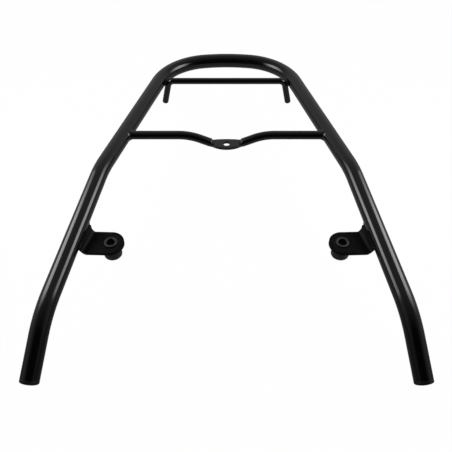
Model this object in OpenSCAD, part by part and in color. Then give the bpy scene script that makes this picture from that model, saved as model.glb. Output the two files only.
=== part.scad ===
// Scooter luggage rack: a bent steel tube makes a hoop at the rear and two legs that reach forward and down.
// A round bar with two pegs crosses the rear of the hoop, and a bar with a forged, drilled flat crosses its middle.
// Each leg carries a folded bracket with a rubber bush and a steel sleeve; the leg ends are closed by plugs.
// Millimetres, +Z up, -Y towards the front of the vehicle, hoop level. The origin is the bottom centre of the box.

/* [Main tube] */
// outside diameter of the main tube
tube_d = 18; // [16:1:20]
// wall thickness of the main tube
tube_wall = 1.5; // [1:0.25:2.5]
// radius of the shallow crown at the rear of the hoop, to the tube's centre line
crown_radius = 208.7; // [180:1:260]
// half angle of the crown
crown_angle = 8.6; // [6:0.2:11]
// radius of the hoop's corners
corner_radius = 70.9; // [60:1:80]
// length of the straight, level side of the hoop
side_len = 164.8; // [155:1:190]
// angle by which the sides of the hoop spread
side_splay = 15.5; // [12:0.5:18]
// radius of the shallow bend between side and leg
knee_radius = 130; // [110:5:160]
// length of the straight leg
leg_len = 139.3; // [130:1:160]
// angle by which the legs spread
leg_splay = 11; // [9:0.5:13]
// slope of the legs below the level of the hoop
leg_slope = 9.9; // [8.5:0.1:11]
// radius of the bend down to the leg's end
toe_radius = 80; // [70:5:100]
// straight length at the leg's end
toe_len = 39; // [30:1:60]
// angle by which the leg's end spreads
toe_splay = 13.2; // [11:0.5:15]
// slope of the leg's end
toe_slope = 38.7; // [32:0.5:42]

/* [End plugs] */
// height of the plug's head beyond the tube
plug_head = 4; // [3:0.5:6]
// rounding of the head's edge
plug_round = 0.8; // [0.4:0.2:2.6]
// length of the plug's shank inside the tube
plug_shank = 14; // [8:1:25]
// wall thickness of the shank
plug_wall = 1.6; // [1:0.2:2]

/* [Rear bar] */
// diameter of the rear bar
rear_d = 8; // [7:0.5:9]
// distance of the rear bar from the centre of the crown
rear_back = 50.8; // [48:0.1:54]
// distance from the main tube's centre line in to the corners where the pegs turn down
rear_inset = 12.52; // [11:0.01:12.9]
// bend radius of the corners, to the bar's centre line
rear_bend = 8; // [7:0.5:10]
// angle by which the pegs spread from upright
peg_splay = 12.7; // [6:0.5:15]
// drop of the pegs below the bar
peg_drop = 33; // [25:1:45]
// rounding of the peg's tip
peg_round = 2.5; // [1:0.5:3]

/* [Cross bar] */
// diameter of the cross bar
cross_d = 10; // [9:0.5:12]
// distance of the cross bar from the centre of the crown
cross_back = 164.9; // [150:1:185]
// half distance at which the bar starts to dip
dip_start = 56; // [50:1:60]
// depth of the dip, to the bar's centre line
dip_depth = 11.8; // [10:0.1:14]
// slope of the dip
dip_slope = 24; // [20:1:30]
// radius of the dip's upper bend
dip_upper = 60; // [40:5:60]
// radius of the dip's lower bend
dip_lower = 24; // [16:2:30]
// thickness of the forged flat
flat_t = 3.8; // [3:0.2:5]
// width of the forged flat at its middle
flat_w = 16.6; // [14:0.2:18]
// distance by which the middle of the flat lies behind the bar's centre line
flat_shift = 0.9; // [0:0.1:1.5]
// radius of the flat's bulging front edge
flat_front = 29; // [26:1:40]
// radius of the flat's nearly straight rear edge
flat_rear = 100; // [60:5:140]
// half length of the flat's level top
flat_half = 14.6; // [13:0.2:17]
// run of the shoulders that rise from the flat
shoulder_run = 4.6; // [3:0.2:6]
// diameter of the drilled hole
hole_d = 8.5; // [6.5:0.5:9]

/* [Brackets] */
// thickness of the bracket's plate
plate_t = 3.5; // [2.5:0.5:4]
// width of the bracket's tab
tab_w = 28.5; // [26:0.5:31]
// distance of the tab's rounded end from the bush's axis
tab_end = 13.4; // [12.5:0.1:16]
// half distance between the bushes
bush_half = 117.6; // [115:0.2:119]
// distance of the bushes from the centre of the crown
bush_back = 308.8; // [300:0.5:315]
// depth of the tab's top below the level of the hoop
tab_drop = 24.8; // [24:0.2:26]
// turn of the tab about the bush's axis
tab_turn = 2; // [0:0.5:4]
// distance of the fold from the bush's axis, outwards
fold_out = 22.5; // [21:0.5:24]
// angle between the fold and the length of the rack
fold_turn = 15; // [12:0.5:17]
// slope of the flange that rises from the fold to the tube
flange_slope = 35; // [30:1:40]
// reach of the flange towards the rear, beyond the tab's edge
flange_flare = 4.1; // [1:0.1:6]
// radius of the concave corner between the tab and the flange
flare_radius = 6; // [4:0.5:10]
// taper of the flange's front edge
front_taper = 3.4; // [0:0.2:5]
// distance from the fold at which the taper starts on the tab
taper_start = 2.5; // [0:0.5:4]
// inside radius of the fold
fold_radius = 3; // [2:0.5:4]

/* [Bushes] */
// diameter of the bush's body under the tab
bush_d = 18.6; // [16:0.2:22]
// height of the bush's body
bush_h = 14.2; // [10:0.2:18]
// diameter of the bush's neck through the tab
neck_d = 13.8; // [13.2:0.2:15]
// height of the neck's lip above the tab
lip_h = 1.2; // [0.8:0.2:2]
// outside diameter of the steel sleeve
sleeve_d = 11.5; // [11:0.1:12.4]
// bore of the sleeve
sleeve_bore = 8.5; // [6.5:0.5:9]

/* [Hidden] */
$fn = 48;

tube_r = tube_d / 2;
shank_gap = 0.1;

// bends are thicker than straights by this hair, and reach this far over them, so that each joint is solid
hair = 0.06;
lap = 0.3;

function unit(v) = v / norm(v);
function heading(splay, slope) = [-sin(splay) * cos(slope), -cos(splay) * cos(slope), -sin(slope)];
function turn_angle(t0, t1) = acos(t0 * t1);
function turn_side(t0, t1) = unit(t1 - t0 * (t0 * t1));
function bend_end(p, t0, t1, r) =
    let (a = turn_angle(t0, t1))
    p + t0 * r * sin(a) + turn_side(t0, t1) * r * (1 - cos(a));

// centre line of the left half of the main tube, from the middle of the crown
crown_mid = [0, 0, 0];
crown_dir = [-1, 0, 0];
corner_dir = [-cos(crown_angle), -sin(crown_angle), 0];
side_dir = heading(side_splay, 0);
leg_dir = heading(leg_splay, leg_slope);
toe_dir = heading(toe_splay, toe_slope);
corner_start = bend_end(crown_mid, crown_dir, corner_dir, crown_radius);
side_start = bend_end(corner_start, corner_dir, side_dir, corner_radius);
side_end = side_start + side_dir * side_len;
leg_start = bend_end(side_end, side_dir, leg_dir, knee_radius);
leg_end = leg_start + leg_dir * leg_len;
toe_start = bend_end(leg_end, leg_dir, toe_dir, toe_radius);
toe_end = toe_start + toe_dir * toe_len;

// the plug's rounded edge is the lowest and foremost part of the rack
plug_ring = toe_end + toe_dir * (plug_head - plug_round);
low_z = plug_ring[2] - (tube_r - plug_round) * cos(toe_slope) - plug_round;
fore_y = plug_ring[1] - (tube_r - plug_round) * sqrt(1 - toe_dir[1] * toe_dir[1]) - plug_round;
lift = -low_z;
shift_y = -(tube_r + fore_y) / 2;

// puts a piece from the hoop's own position into the part's frame
module set_in_place() {
    translate([0, shift_y, lift]) children();
}

// turns the X, Y and Z directions of a piece to x, y and z and moves it to p
module aim(p, x, y, z) {
    multmatrix([
        [x[0], y[0], z[0], p[0]],
        [x[1], y[1], z[1], p[1]],
        [x[2], y[2], z[2], p[2]],
        [0, 0, 0, 1]
    ]) children();
}

// a flat outline carried along a straight line from p in direction t
module straight(p, t, len) {
    x = unit(cross([0.1, 0.2, 1], t));
    aim(p, x, cross(t, x), t) linear_extrude(len) children();
}

// a flat outline carried round a bend of radius r from direction t0 to t1, and a little over both ends
module bend(p, t0, t1, r) {
    n = turn_side(t0, t1);
    over = lap / r * 180 / PI;
    aim(p + n * r, -n, t0, cross(-n, t0))
    rotate([0, 0, -over])
    rotate_extrude(angle = turn_angle(t0, t1) + 2 * over)
    translate([r, 0])
    children();
}

module tube_section(extra = 0) {
    difference() {
        circle(d = tube_d + extra);
        circle(d = tube_d - 2 * tube_wall - extra);
    }
}

module main_tube_half() {
    bend(corner_start, corner_dir, side_dir, corner_radius) tube_section(hair);
    straight(side_start, side_dir, side_len) tube_section();
    bend(side_end, side_dir, leg_dir, knee_radius) tube_section(hair);
    straight(leg_start, leg_dir, leg_len) tube_section();
    bend(leg_end, leg_dir, toe_dir, toe_radius) tube_section(hair);
    straight(toe_start, toe_dir, toe_len) tube_section();
}

module main_tube() {
    color([0.02, 0.02, 0.02])
    set_in_place()
    union() {
        aim([0, -crown_radius, 0], [1, 0, 0], [0, 1, 0], [0, 0, 1])
        rotate([0, 0, 90 - crown_angle])
        rotate_extrude(angle = 2 * crown_angle)
        translate([crown_radius, 0])
        tube_section();
        main_tube_half();
        mirror([1, 0, 0]) main_tube_half();
    }
}

// outline of a round head of radius r and height h with its outer edge rounded, for turning about Z
module rounded_head(r, h, e) {
    intersection() {
        square([r, h]);
        union() {
            square([r, h - e]);
            square([r - e, h]);
            translate([r - e, h - e]) circle(r = e);
        }
    }
}

// the hoop's corner and side as solid rods, to fit the bars against them
module corner_rod() {
    bend(corner_start, corner_dir, side_dir, corner_radius) circle(d = tube_d + hair);
}

module side_rod() {
    straight(side_start, side_dir, side_len) circle(d = tube_d);
}

// half width of the hoop, to its centre line, where the rear bar crosses its corner or side
corner_mid = corner_start + turn_side(corner_dir, side_dir) * corner_radius;
in_corner = rear_back < -side_start[1];
corner_reach = sqrt(pow(corner_radius, 2) - pow(min(rear_back, -side_start[1]) + corner_mid[1], 2));
rear_hoop = in_corner ? corner_reach - corner_mid[0] : (rear_back + side_start[1]) * tan(side_splay) - side_start[0];
rear_half = rear_hoop - rear_inset;

peg_dir = [-sin(peg_splay), 0, -cos(peg_splay)];
rear_corner = [-rear_half, -rear_back, 0];
rear_tangent = rear_bend * tan((90 - peg_splay) / 2);
peg_len = peg_drop / cos(peg_splay) - rear_tangent;
peg_start = rear_corner + peg_dir * rear_tangent;

module rear_half_bar() {
    bend(rear_corner + [rear_tangent, 0, 0], [-1, 0, 0], peg_dir, rear_bend) circle(d = rear_d + hair);
    aim(peg_start, [cos(peg_splay), 0, -sin(peg_splay)], [0, -1, 0], peg_dir)
    rotate_extrude()
    rounded_head(rear_d / 2, peg_len, peg_round);
}

module rear_bar() {
    color([0.02, 0.02, 0.02])
    set_in_place()
    difference() {
        union() {
            translate([-(rear_half - rear_tangent), -rear_back, 0])
            rotate([0, 90, 0])
            cylinder(d = rear_d, h = 2 * (rear_half - rear_tangent));
            rear_half_bar();
            mirror([1, 0, 0]) rear_half_bar();
        }
        corner_rod();
        side_rod();
        mirror([1, 0, 0]) corner_rod();
        mirror([1, 0, 0]) side_rod();
    }
}

side_x = side_start[0] + (cross_back + side_start[1]) * tan(side_splay) * -1;
dip_dir = [cos(dip_slope), 0, -sin(dip_slope)];
dip_bends = (dip_upper + dip_lower) * (1 - cos(dip_slope));
dip_straight = (dip_depth - dip_bends) / sin(dip_slope);
dip_in = [-dip_start, -cross_back, 0];
dip_mid = bend_end(dip_in, [1, 0, 0], dip_dir, dip_upper);
dip_out = dip_mid + dip_dir * dip_straight;
dip_level = bend_end(dip_out, dip_dir, [1, 0, 0], dip_lower);
flat_bottom = -dip_depth - cross_d / 2;
flat_top = flat_bottom + flat_t;

module cross_half() {
    straight([side_x, -cross_back, 0], [1, 0, 0], -side_x - dip_start) circle(d = cross_d);
    bend(dip_in, [1, 0, 0], dip_dir, dip_upper) circle(d = cross_d + hair);
    straight(dip_mid, dip_dir, dip_straight) circle(d = cross_d);
    bend(dip_out, dip_dir, [1, 0, 0], dip_lower) circle(d = cross_d + hair);
}

// space of the forging die: level over the flat, with a sloped shoulder at each end
module die() {
    rise = cross_d + dip_depth;
    run = shoulder_run * rise / cross_d;
    translate([0, -cross_back + 1.5 * cross_d, flat_top])
    rotate([90, 0, 0])
    linear_extrude(3 * cross_d)
    polygon([[-flat_half, 0], [flat_half, 0], [flat_half + run, rise], [-flat_half - run, rise]]);
}

// a disc with a bulging rim; two of them cross to make the lens
module rim_disc(r, h) {
    bulge = 0.85 * h;
    rotate_extrude() {
        translate([0, -h / 2]) square([r - bulge * 0.8, h]);
        intersection() {
            translate([r - bulge, 0]) circle(r = bulge);
            translate([0, -h / 2]) square([r + 1, h]);
        }
    }
}

// the metal that the forging pushes out sideways: bulging in front, nearly straight behind, rounded at its ends
module lens() {
    front_y = flat_shift - flat_w / 2;
    rear_y = flat_shift + flat_w / 2;
    end_r = flat_half + 2.9;
    rim_h = flat_t + 1.2;
    keel = 0.3;
    belly_r = 110;
    translate([0, -cross_back, flat_top - flat_t / 2])
    intersection() {
        translate([0, front_y + flat_front, 0]) rim_disc(flat_front, rim_h);
        translate([0, rear_y - flat_rear, 0]) rim_disc(flat_rear, rim_h);
        translate([0, flat_shift, -rim_h]) cylinder(r = end_r, h = 2 * rim_h);
        translate([0, 2 * flat_w, belly_r - flat_t / 2 + keel])
        rotate([90, 0, 0])
        cylinder(r = belly_r, h = 4 * flat_w);
    }
}

module cross_bar() {
    color([0.02, 0.02, 0.02])
    set_in_place()
    difference() {
        union() {
            cross_half();
            mirror([1, 0, 0]) cross_half();
            straight(dip_level, [1, 0, 0], -2 * dip_level[0]) circle(d = cross_d);
            lens();
        }
        die();
        translate([0, flat_shift - cross_back, flat_bottom - 1]) cylinder(d = hole_d, h = flat_t + 2);
        side_rod();
        mirror([1, 0, 0]) side_rod();
    }
}

// the straight leg of the main tube as a solid, to fit the bracket's flange against it
module leg_rod() {
    straight(leg_start, leg_dir, leg_len) circle(d = tube_d);
}

bush_at = [-bush_half, -bush_back, -tab_drop];
fold_dir = [-sin(fold_turn), -cos(fold_turn), 0];
fold_in = [cos(fold_turn), -sin(fold_turn), 0];

// section of the folded plate, seen along the fold: X inwards, Y up, tab top at Y = 0, fold at X = 0
module folded_section() {
    flange_len = tube_d * 0.8;
    outer = fold_radius + plate_t;
    tangent = fold_radius * tan(flange_slope / 2);
    over = 2;
    translate([tangent, -plate_t]) square([fold_out + tab_w, plate_t]);
    translate([tangent, fold_radius]) {
        intersection() {
            difference() {
                circle(r = outer + hair / 2);
                circle(r = fold_radius - hair / 2);
            }
            polygon([
                [0, 0],
                2 * outer * [sin(over), -cos(over)],
                2 * outer * [-sin(flange_slope + over), -cos(flange_slope + over)]
            ]);
        }
        rotate(-flange_slope)
        translate([-flange_len, -outer])
        square([flange_len, plate_t]);
    }
}

// outline of the bracket from above, in the fold's position: X inwards, Y towards the rear, fold along X = 0
tab_skew = fold_turn - tab_turn;
tab_dir = [cos(tab_skew), sin(tab_skew)];
tab_side = [-sin(tab_skew), cos(tab_skew)];
bush_spot = fold_out * [cos(fold_turn), sin(fold_turn)];
end_spot = bush_spot + tab_dir * (tab_end - tab_w / 2);

module bracket_outline() {
    half = tab_w / 2;
    rear_corner_y = (half + fold_out * sin(tab_turn)) / cos(tab_skew);
    front_corner_y = (-half + fold_out * sin(tab_turn)) / cos(tab_skew);
    flange_x = -12;
    flare_y = rear_corner_y + flange_flare;
    bend_spot = [0, rear_corner_y] + tab_dir * 1.5;
    flare_spot = bend_spot + tab_side * flare_radius;
    flare_x = flare_spot[0] - sqrt(pow(flare_radius, 2) - pow(flare_spot[1] - flare_y, 2));
    difference() {
        union() {
            translate(end_spot) circle(r = half + hair);
            polygon([
                bend_spot,
                flare_spot,
                [flare_x, flare_y],
                [flange_x, flare_y],
                [flange_x, front_corner_y + front_taper],
                [0, front_corner_y] + tab_dir * taper_start,
                end_spot - tab_side * half,
                end_spot + tab_side * half
            ]);
        }
        translate(flare_spot) circle(r = flare_radius);
        translate(bush_spot) circle(d = neck_d);
    }
}

module bracket() {
    span = 2 * tab_w;
    fold_at = bush_at - [fold_out, 0, 0];
    difference() {
        intersection() {
            aim(fold_at - fold_dir * span / 2, fold_in, [0, 0, 1], cross(fold_in, [0, 0, 1]))
            translate([0, 0, -span])
            linear_extrude(2 * span)
            folded_section();
            translate(fold_at - [0, 0, tab_w])
            rotate([0, 0, -fold_turn])
            linear_extrude(2 * tab_w)
            bracket_outline();
        }
        leg_rod();
    }
}

module bracket_left() {
    color([0.02, 0.02, 0.02]) set_in_place() bracket();
}

module bracket_right() {
    color([0.02, 0.02, 0.02]) set_in_place() mirror([1, 0, 0]) bracket();
}

sleeve_len = bush_h + plate_t;

module bush() {
    translate(bush_at - [0, 0, plate_t + bush_h])
    rotate_extrude()
    difference() {
        union() {
            square([bush_d / 2, bush_h]);
            square([neck_d / 2, bush_h + plate_t + lip_h]);
        }
        square([sleeve_d / 2, sleeve_len]);
        square([sleeve_bore / 2, bush_h + plate_t + lip_h]);
    }
}

module bush_left() {
    color([0.12, 0.12, 0.12]) set_in_place() bush();
}

module bush_right() {
    color([0.12, 0.12, 0.12]) set_in_place() mirror([1, 0, 0]) bush();
}

module sleeve() {
    translate(bush_at - [0, 0, plate_t + bush_h])
    difference() {
        cylinder(d = sleeve_d, h = sleeve_len);
        translate([0, 0, -1]) cylinder(d = sleeve_bore, h = sleeve_len + 2);
    }
}

module sleeve_left() {
    color([0.35, 0.35, 0.36]) set_in_place() sleeve();
}

module sleeve_right() {
    color([0.35, 0.35, 0.36]) set_in_place() mirror([1, 0, 0]) sleeve();
}

// closed head that stands on the tube's end, with a hollow shank pushed into the bore
module plug() {
    shank_r = tube_r - tube_wall - shank_gap;
    x = unit(cross([0, 0, 1], toe_dir));
    aim(toe_end, x, cross(toe_dir, x), toe_dir)
    difference() {
        rotate_extrude() {
            rounded_head(tube_r, plug_head, plug_round);
            translate([0, -plug_shank]) square([shank_r, plug_shank]);
        }
        translate([0, 0, -plug_shank - 1]) cylinder(r = shank_r - plug_wall, h = plug_shank + 2);
    }
}

module end_plug_left() {
    color([0.06, 0.06, 0.06]) set_in_place() plug();
}

module end_plug_right() {
    color([0.06, 0.06, 0.06]) set_in_place() mirror([1, 0, 0]) plug();
}

main_tube();
rear_bar();
cross_bar();
bracket_left();
bracket_right();
bush_left();
bush_right();
sleeve_left();
sleeve_right();
end_plug_left();
end_plug_right();
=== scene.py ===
"""Scooter luggage rack: bent black steel tube with a rear bar, a forged cross bar, two brackets with bushes, and welds.

Lengths in the tables are millimetres in the hoop's own position: the middle of the crown at the origin, the hoop level,
the legs towards -Y. to_part() turns them into metres in the part's frame.
"""

import math

import bmesh
import bpy
import numpy as np
from bpy.props import FloatProperty, IntProperty, PointerProperty, StringProperty
from bpy.types import Operator, Panel, PropertyGroup
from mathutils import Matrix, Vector


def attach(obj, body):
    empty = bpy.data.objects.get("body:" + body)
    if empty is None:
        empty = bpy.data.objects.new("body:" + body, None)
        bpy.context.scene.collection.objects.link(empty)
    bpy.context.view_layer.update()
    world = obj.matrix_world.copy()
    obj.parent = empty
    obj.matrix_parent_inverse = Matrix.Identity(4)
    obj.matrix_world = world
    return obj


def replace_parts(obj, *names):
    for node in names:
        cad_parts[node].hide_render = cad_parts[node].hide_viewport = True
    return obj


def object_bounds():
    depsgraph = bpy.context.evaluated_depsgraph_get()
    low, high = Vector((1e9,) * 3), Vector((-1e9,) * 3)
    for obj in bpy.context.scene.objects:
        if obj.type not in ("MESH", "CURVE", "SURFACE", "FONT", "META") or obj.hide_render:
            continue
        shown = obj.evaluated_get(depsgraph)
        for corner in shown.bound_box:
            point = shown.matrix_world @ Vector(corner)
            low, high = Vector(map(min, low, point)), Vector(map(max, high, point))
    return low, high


bl_info = {
    "name": "Scooter luggage rack",
    "version": (1, 0, 0),
    "blender": (4, 5, 0),
    "location": "3D View > Sidebar > Rack",
    "description": "Builds a painted tubular luggage rack around its solid model",
    "category": "Object",
}

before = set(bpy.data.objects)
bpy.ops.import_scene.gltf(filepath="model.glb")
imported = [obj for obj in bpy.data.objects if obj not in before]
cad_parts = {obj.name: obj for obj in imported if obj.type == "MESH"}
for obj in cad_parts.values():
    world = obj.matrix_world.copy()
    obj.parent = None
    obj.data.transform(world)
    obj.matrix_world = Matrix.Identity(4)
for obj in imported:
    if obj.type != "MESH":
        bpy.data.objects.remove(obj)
CAD_LOW, CAD_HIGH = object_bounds()
MM = 0.001

# main tube: radius, wall, and its bends and runs from the middle of the crown to the left leg's end
TUBE_R = 9.0
TUBE_WALL = 1.5
CROWN_R, CROWN_ANGLE = 208.7, 8.6
CORNER_R = 70.9
SIDE_RUN, SIDE_SPLAY = 164.8, 15.5
KNEE_R = 130.0
LEG_RUN, LEG_SPLAY, LEG_SLOPE = 139.3, 11.0, 9.9
TOE_R = 80.0
TOE_RUN, TOE_SPLAY, TOE_SLOPE = 39.0, 13.2, 38.7

# rear bar and its pegs
REAR_R = 4.0
REAR_BACK = 50.8
REAR_HALF = 75.6
REAR_BEND = 8.0
PEG_SPLAY = 12.7
PEG_DROP = 33.0
PEG_ROUND = 2.5
PEG_ROUND_RINGS = 8

# cross bar, its dip and its forged flat
CROSS_R = 5.0
CROSS_BACK = 164.9
DIP_START, DIP_DEPTH, DIP_SLOPE = 56.0, 11.8, 24.0
DIP_UPPER, DIP_LOWER = 60.0, 24.0
FLAT_T, FLAT_W, FLAT_SHIFT = 3.8, 16.6, 0.9
FLAT_FRONT, FLAT_REAR = 29.0, 100.0
FLAT_HALF, FLAT_CORNER, SHOULDER_RUN = 14.6, 2.9, 4.6
FLAT_TOP = -DIP_DEPTH - CROSS_R + FLAT_T
HOLE_R = 4.25

# cross bar's skin: sink of its core line, rounding of the flat, how sections are found and spaced
SINK_START, SINK_RUN, SINK_SPARE = 38.0, 20.0, 0.2
FLAT_EASE, EDGE_POWER, FACE_POWER = 0.3, 14, 5
REACHES_TRIED, HALVINGS = np.linspace(0.05, 13.0, 260), 16
STATIONS = ((-100, -57, 6.0), (-57, -30, 0.9), (-30, 0, 0.4))
EDGE_CROWDING = 0.35
SOFT_HALF, SOFT_PASSES = 24.5, 3
END_SINK = 0.8

# left bracket: bush axis, tab, fold and flange, and the painted highlight line beside the fold
BUSH_AT = np.array([-117.6, -308.8, -24.8])
TAB_W, TAB_TURN = 28.5, 2.0
PLATE_T = 3.5
FOLD_OUT, FOLD_TURN = 22.5, 15.0
FLANGE_SLOPE, FLANGE_FLARE = 35.0, 4.1
FOLD_HIGHLIGHT_OUT, FOLD_HIGHLIGHT_FULL, FOLD_HIGHLIGHT_END = 1.2, 0.6, 1.6

# welds: fillet round the cross bar, then the beads of the rear bar and the flange
POOLS, POOL_RIPPLE, POOL_DRIFT, POOL_WANDER = 13, 0.06, 0.8, 0.08
FILLET_SINK, FILLET_HOLLOW, FILLET_POINTS = 0.12, 0.72, 12
ROOT_REACH, ROOT_SINK = 0.8, 0.9
BEAD_SINK, BEAD_FRONT_IN, BEAD_REAR_IN = 0.7, 2.4, 0.6
FLANGE_TRIED = np.arange(0, 30, 0.05)
LAST_POOL_RUN, LAST_POOL_SWELL = 4.5, 0.75

# worked pieces: segments of a rounded edge, and the least angle in degrees of an edge that is rounded
EDGE_SEGMENTS, EDGE_ANGLE = 3, 30.0
# angles in degrees past which an edge shows as sharp
PLAIN_SHARP, FORGED_SHARP, WELD_SHARP = 40.0, 70.0, 80.0

# the range in which a noise mostly stays
MIDDLE = {"From Min": 0.3, "From Max": 0.7}

# white cove in metres: half width, front and rear of the floor, bend, top, and gap under the rack
COVE_HALF, COVE_FRONT, COVE_REAR, COVE_R, COVE_TOP, COVE_GAP = 2.6, -2.6, 1.0, 0.6, 1.9, 0.0004
# gloss sees the cove fade towards the camera between two places along Y, a painted shade where the rack shades the
# floor near it, and brighten between two heights
FADE_PLACES, FADE_LEFT = (-0.26, -0.02), 0.3
RISE_HEIGHTS, RISE_LEVEL = (0.05, 0.7), 0.22
# share of plain white in what the camera sees of the cove; the rest is lit, and keeps a trace of the shadow
CAMERA_SHARE = 0.985
# panels' light, in metres from their front ends: full from, falling between, down to; and their lean
PANEL_FULL, PANEL_FALL, PANEL_LEFT, PANEL_LEAN = 0.28, (0.34, 0.48), 0.3, 0.25
# tent: level from the front to the back by a ray's Y, and what the sides add by its X
TENT_WAYS, TENT_LEVELS, TENT_SIDE_WAY, TENT_SIDE_LEVEL = (-0.7, 0.9), (0.015, 0.5), 0.4, 0.15
# how far the picture's middle sits off the lens axis, in the picture's pixels
PICTURE, OFF_AXIS = 452, (-0.57, 0.5)

SHIFT_Y = CAD_HIGH.y / MM - TUBE_R
LIFT = CAD_HIGH.z / MM - TUBE_R
MIRROR = np.array([-1.0, 1.0, 1.0])
RUN_STEP = 6.0  # between the points of a straight run


def to_part(points):
    """Hoop position in millimetres to the part's frame in metres."""
    return (np.asarray(points, float) + [0.0, SHIFT_Y, LIFT]) * MM


def unit(v):
    """v, one long."""
    return v / np.linalg.norm(v)


def heading(splay, slope):
    """Direction that runs forward, spreads to the left by splay and falls by slope, in degrees."""
    a, b = math.radians(splay), math.radians(slope)
    return np.array([-math.sin(a) * math.cos(b), -math.cos(a) * math.cos(b), -math.sin(b)])


def bent_line(start, first, steps, bend_step=1.5):
    """Points and directions along a bent rod: each step is a run's length or a bend's (direction, radius)."""
    p, t = np.array(start, float), unit(np.array(first, float))
    points, dirs = [p.copy()], [t.copy()]
    for step in steps:
        if isinstance(step, tuple):
            t1, r = unit(step[0]), step[1]
            angle = math.acos(np.clip(t @ t1, -1, 1))
            side = unit(t1 - t * (t @ t1))
            count = max(2, math.ceil(angle * r / bend_step))
            for k in range(1, count + 1):
                a = angle * k / count
                points.append(p + t * r * math.sin(a) + side * r * (1 - math.cos(a)))
                dirs.append(t * math.cos(a) + side * math.sin(a))
            p, t = points[-1], t1
        else:
            count = max(1, math.ceil(step / RUN_STEP))
            for k in range(1, count + 1):
                points.append(p + t * step * k / count)
                dirs.append(t)
            p = points[-1]
    return np.array(points), np.array(dirs)


def hoop_half(count=7):
    """Centre line of the main tube's left half, from the crown through the first count bends and runs."""
    crown_end = np.array([-math.cos(math.radians(CROWN_ANGLE)), -math.sin(math.radians(CROWN_ANGLE)), 0.0])
    steps = [
        (crown_end, CROWN_R),
        (heading(SIDE_SPLAY, 0.0), CORNER_R),
        SIDE_RUN,
        (heading(LEG_SPLAY, LEG_SLOPE), KNEE_R),
        LEG_RUN,
        (heading(TOE_SPLAY, TOE_SLOPE), TOE_R),
        TOE_RUN,
    ]
    return bent_line([0, 0, 0], [-1, 0, 0], steps[:count])[0]


SIDE_START, LEG_START = hoop_half(2)[-1], hoop_half(4)[-1]


def both_sides(points):
    """Joins a left half line, which starts in the middle plane, to its mirror image: left end to right end."""
    return np.vstack([points[::-1], points[1:] * MIRROR])


# tools


def put(tree, kind, inputs=None, **settings):
    """Adds a node with its settings and gives its first output; an input's value may be a socket to link."""
    node = tree.nodes.new(kind)
    for key, value in settings.items():
        setattr(node, key, value)
    for key, value in (inputs or {}).items():
        socket = node.inputs[key]
        if isinstance(value, bpy.types.NodeSocket):
            tree.links.new(value, socket)
        else:
            socket.default_value = value
    return next((socket for socket in node.outputs if socket.enabled), None)


def placed(name, data):
    """New object of data in the scene."""
    obj = bpy.data.objects.new(name, data)
    bpy.context.scene.collection.objects.link(obj)
    return obj


def emptied(owner):
    """The empty node tree of a material, a lamp or a world."""
    owner.use_nodes = True
    owner.node_tree.nodes.clear()
    return owner.node_tree


def path_object(name, points, radii=None, cyclic=False):
    """Curve object through points, with a thickness factor at each."""
    curve = bpy.data.curves.new(name, "CURVE")
    curve.dimensions = "3D"
    spline = curve.splines.new("POLY")
    spline.points.add(len(points) - 1)
    for k, place in enumerate(to_part(points)):
        spline.points[k].co = (*place, 1.0)
        spline.points[k].radius = 1.0 if radii is None else radii[k]
    spline.use_cyclic_u = cyclic
    return placed(name, curve)


def run_tree(maker, tree, sockets, values):
    """Plain mesh of the node tree run on maker, which is removed."""
    modifier = maker.modifiers.new("nodes", "NODES")
    modifier.node_group = tree
    for key, value in values.items():
        modifier[sockets[key]] = value
    maker.update_tag()
    bpy.context.view_layer.update()
    mesh = bpy.data.meshes.new_from_object(maker.evaluated_get(bpy.context.evaluated_depsgraph_get()))
    bpy.data.curves.remove(maker.data)
    return mesh


def node_group(name, sizes):
    """Empty geometry node tree with the named sizes as its inputs, and their sockets' identifiers."""
    tree = bpy.data.node_groups.new(name, "GeometryNodeTree")
    sockets = {}
    tree.interface.new_socket("Geometry", in_out="INPUT", socket_type="NodeSocketGeometry")
    for key, (kind, default) in sizes.items():
        item = tree.interface.new_socket(key, in_out="INPUT", socket_type="NodeSocket" + kind)
        item.default_value = default
        sockets[key] = item.identifier
    tree.interface.new_socket("Geometry", in_out="OUTPUT", socket_type="NodeSocketGeometry")
    return tree, sockets


def close_tree(tree, mesh_socket, material):
    """Ends a tree: smooth, real, with its material."""
    smooth = put(tree, "GeometryNodeSetShadeSmooth", {"Geometry": mesh_socket})
    real = put(tree, "GeometryNodeRealizeInstances", {"Geometry": smooth})
    painted = put(tree, "GeometryNodeSetMaterial", {"Geometry": real, "Material": material})
    put(tree, "NodeGroupOutput", {"Geometry": painted})


def strip_faces(rows, around, closed=False):
    """Quads between neighbouring rings of vertices, also from the last ring to the first where closed."""
    faces = []
    for i in range(rows if closed else rows - 1):
        a, b = i * around, (i + 1) % rows * around
        for k in range(around):
            n = (k + 1) % around
            faces.append((a + k, a + n, b + n, b + k))
    return faces


def outward(bm, mesh):
    """Turns the faces of bm outwards and writes it to mesh."""
    bmesh.ops.recalc_face_normals(bm, faces=bm.faces)
    bm.to_mesh(mesh)
    bm.free()


def smoothed(mesh, sharp):
    """Smooth shading but for edges that turn by more than sharp, in degrees."""
    mesh.polygons.foreach_set("use_smooth", [True] * len(mesh.polygons))
    mesh.set_sharp_from_angle(angle=math.radians(sharp))


def finished(name, mesh, material, sharp=PLAIN_SHARP):
    """Object of a finished mesh with its material, on the rack's one body."""
    mesh.materials.clear()
    mesh.materials.append(material)
    smoothed(mesh, sharp)
    mesh.update()
    obj = placed(name, mesh)
    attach(obj, "root")
    return obj


def painted_mesh(name, vertices, faces, sharp):
    """An enamelled piece of vertices and faces, its faces turned outwards."""
    mesh = bpy.data.meshes.new(name)
    mesh.from_pydata([tuple(v) for v in to_part(vertices)], [], faces)
    bm = bmesh.new()
    bm.from_mesh(mesh)
    outward(bm, mesh)
    return finished(name, mesh, enamel(), sharp)


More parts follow.
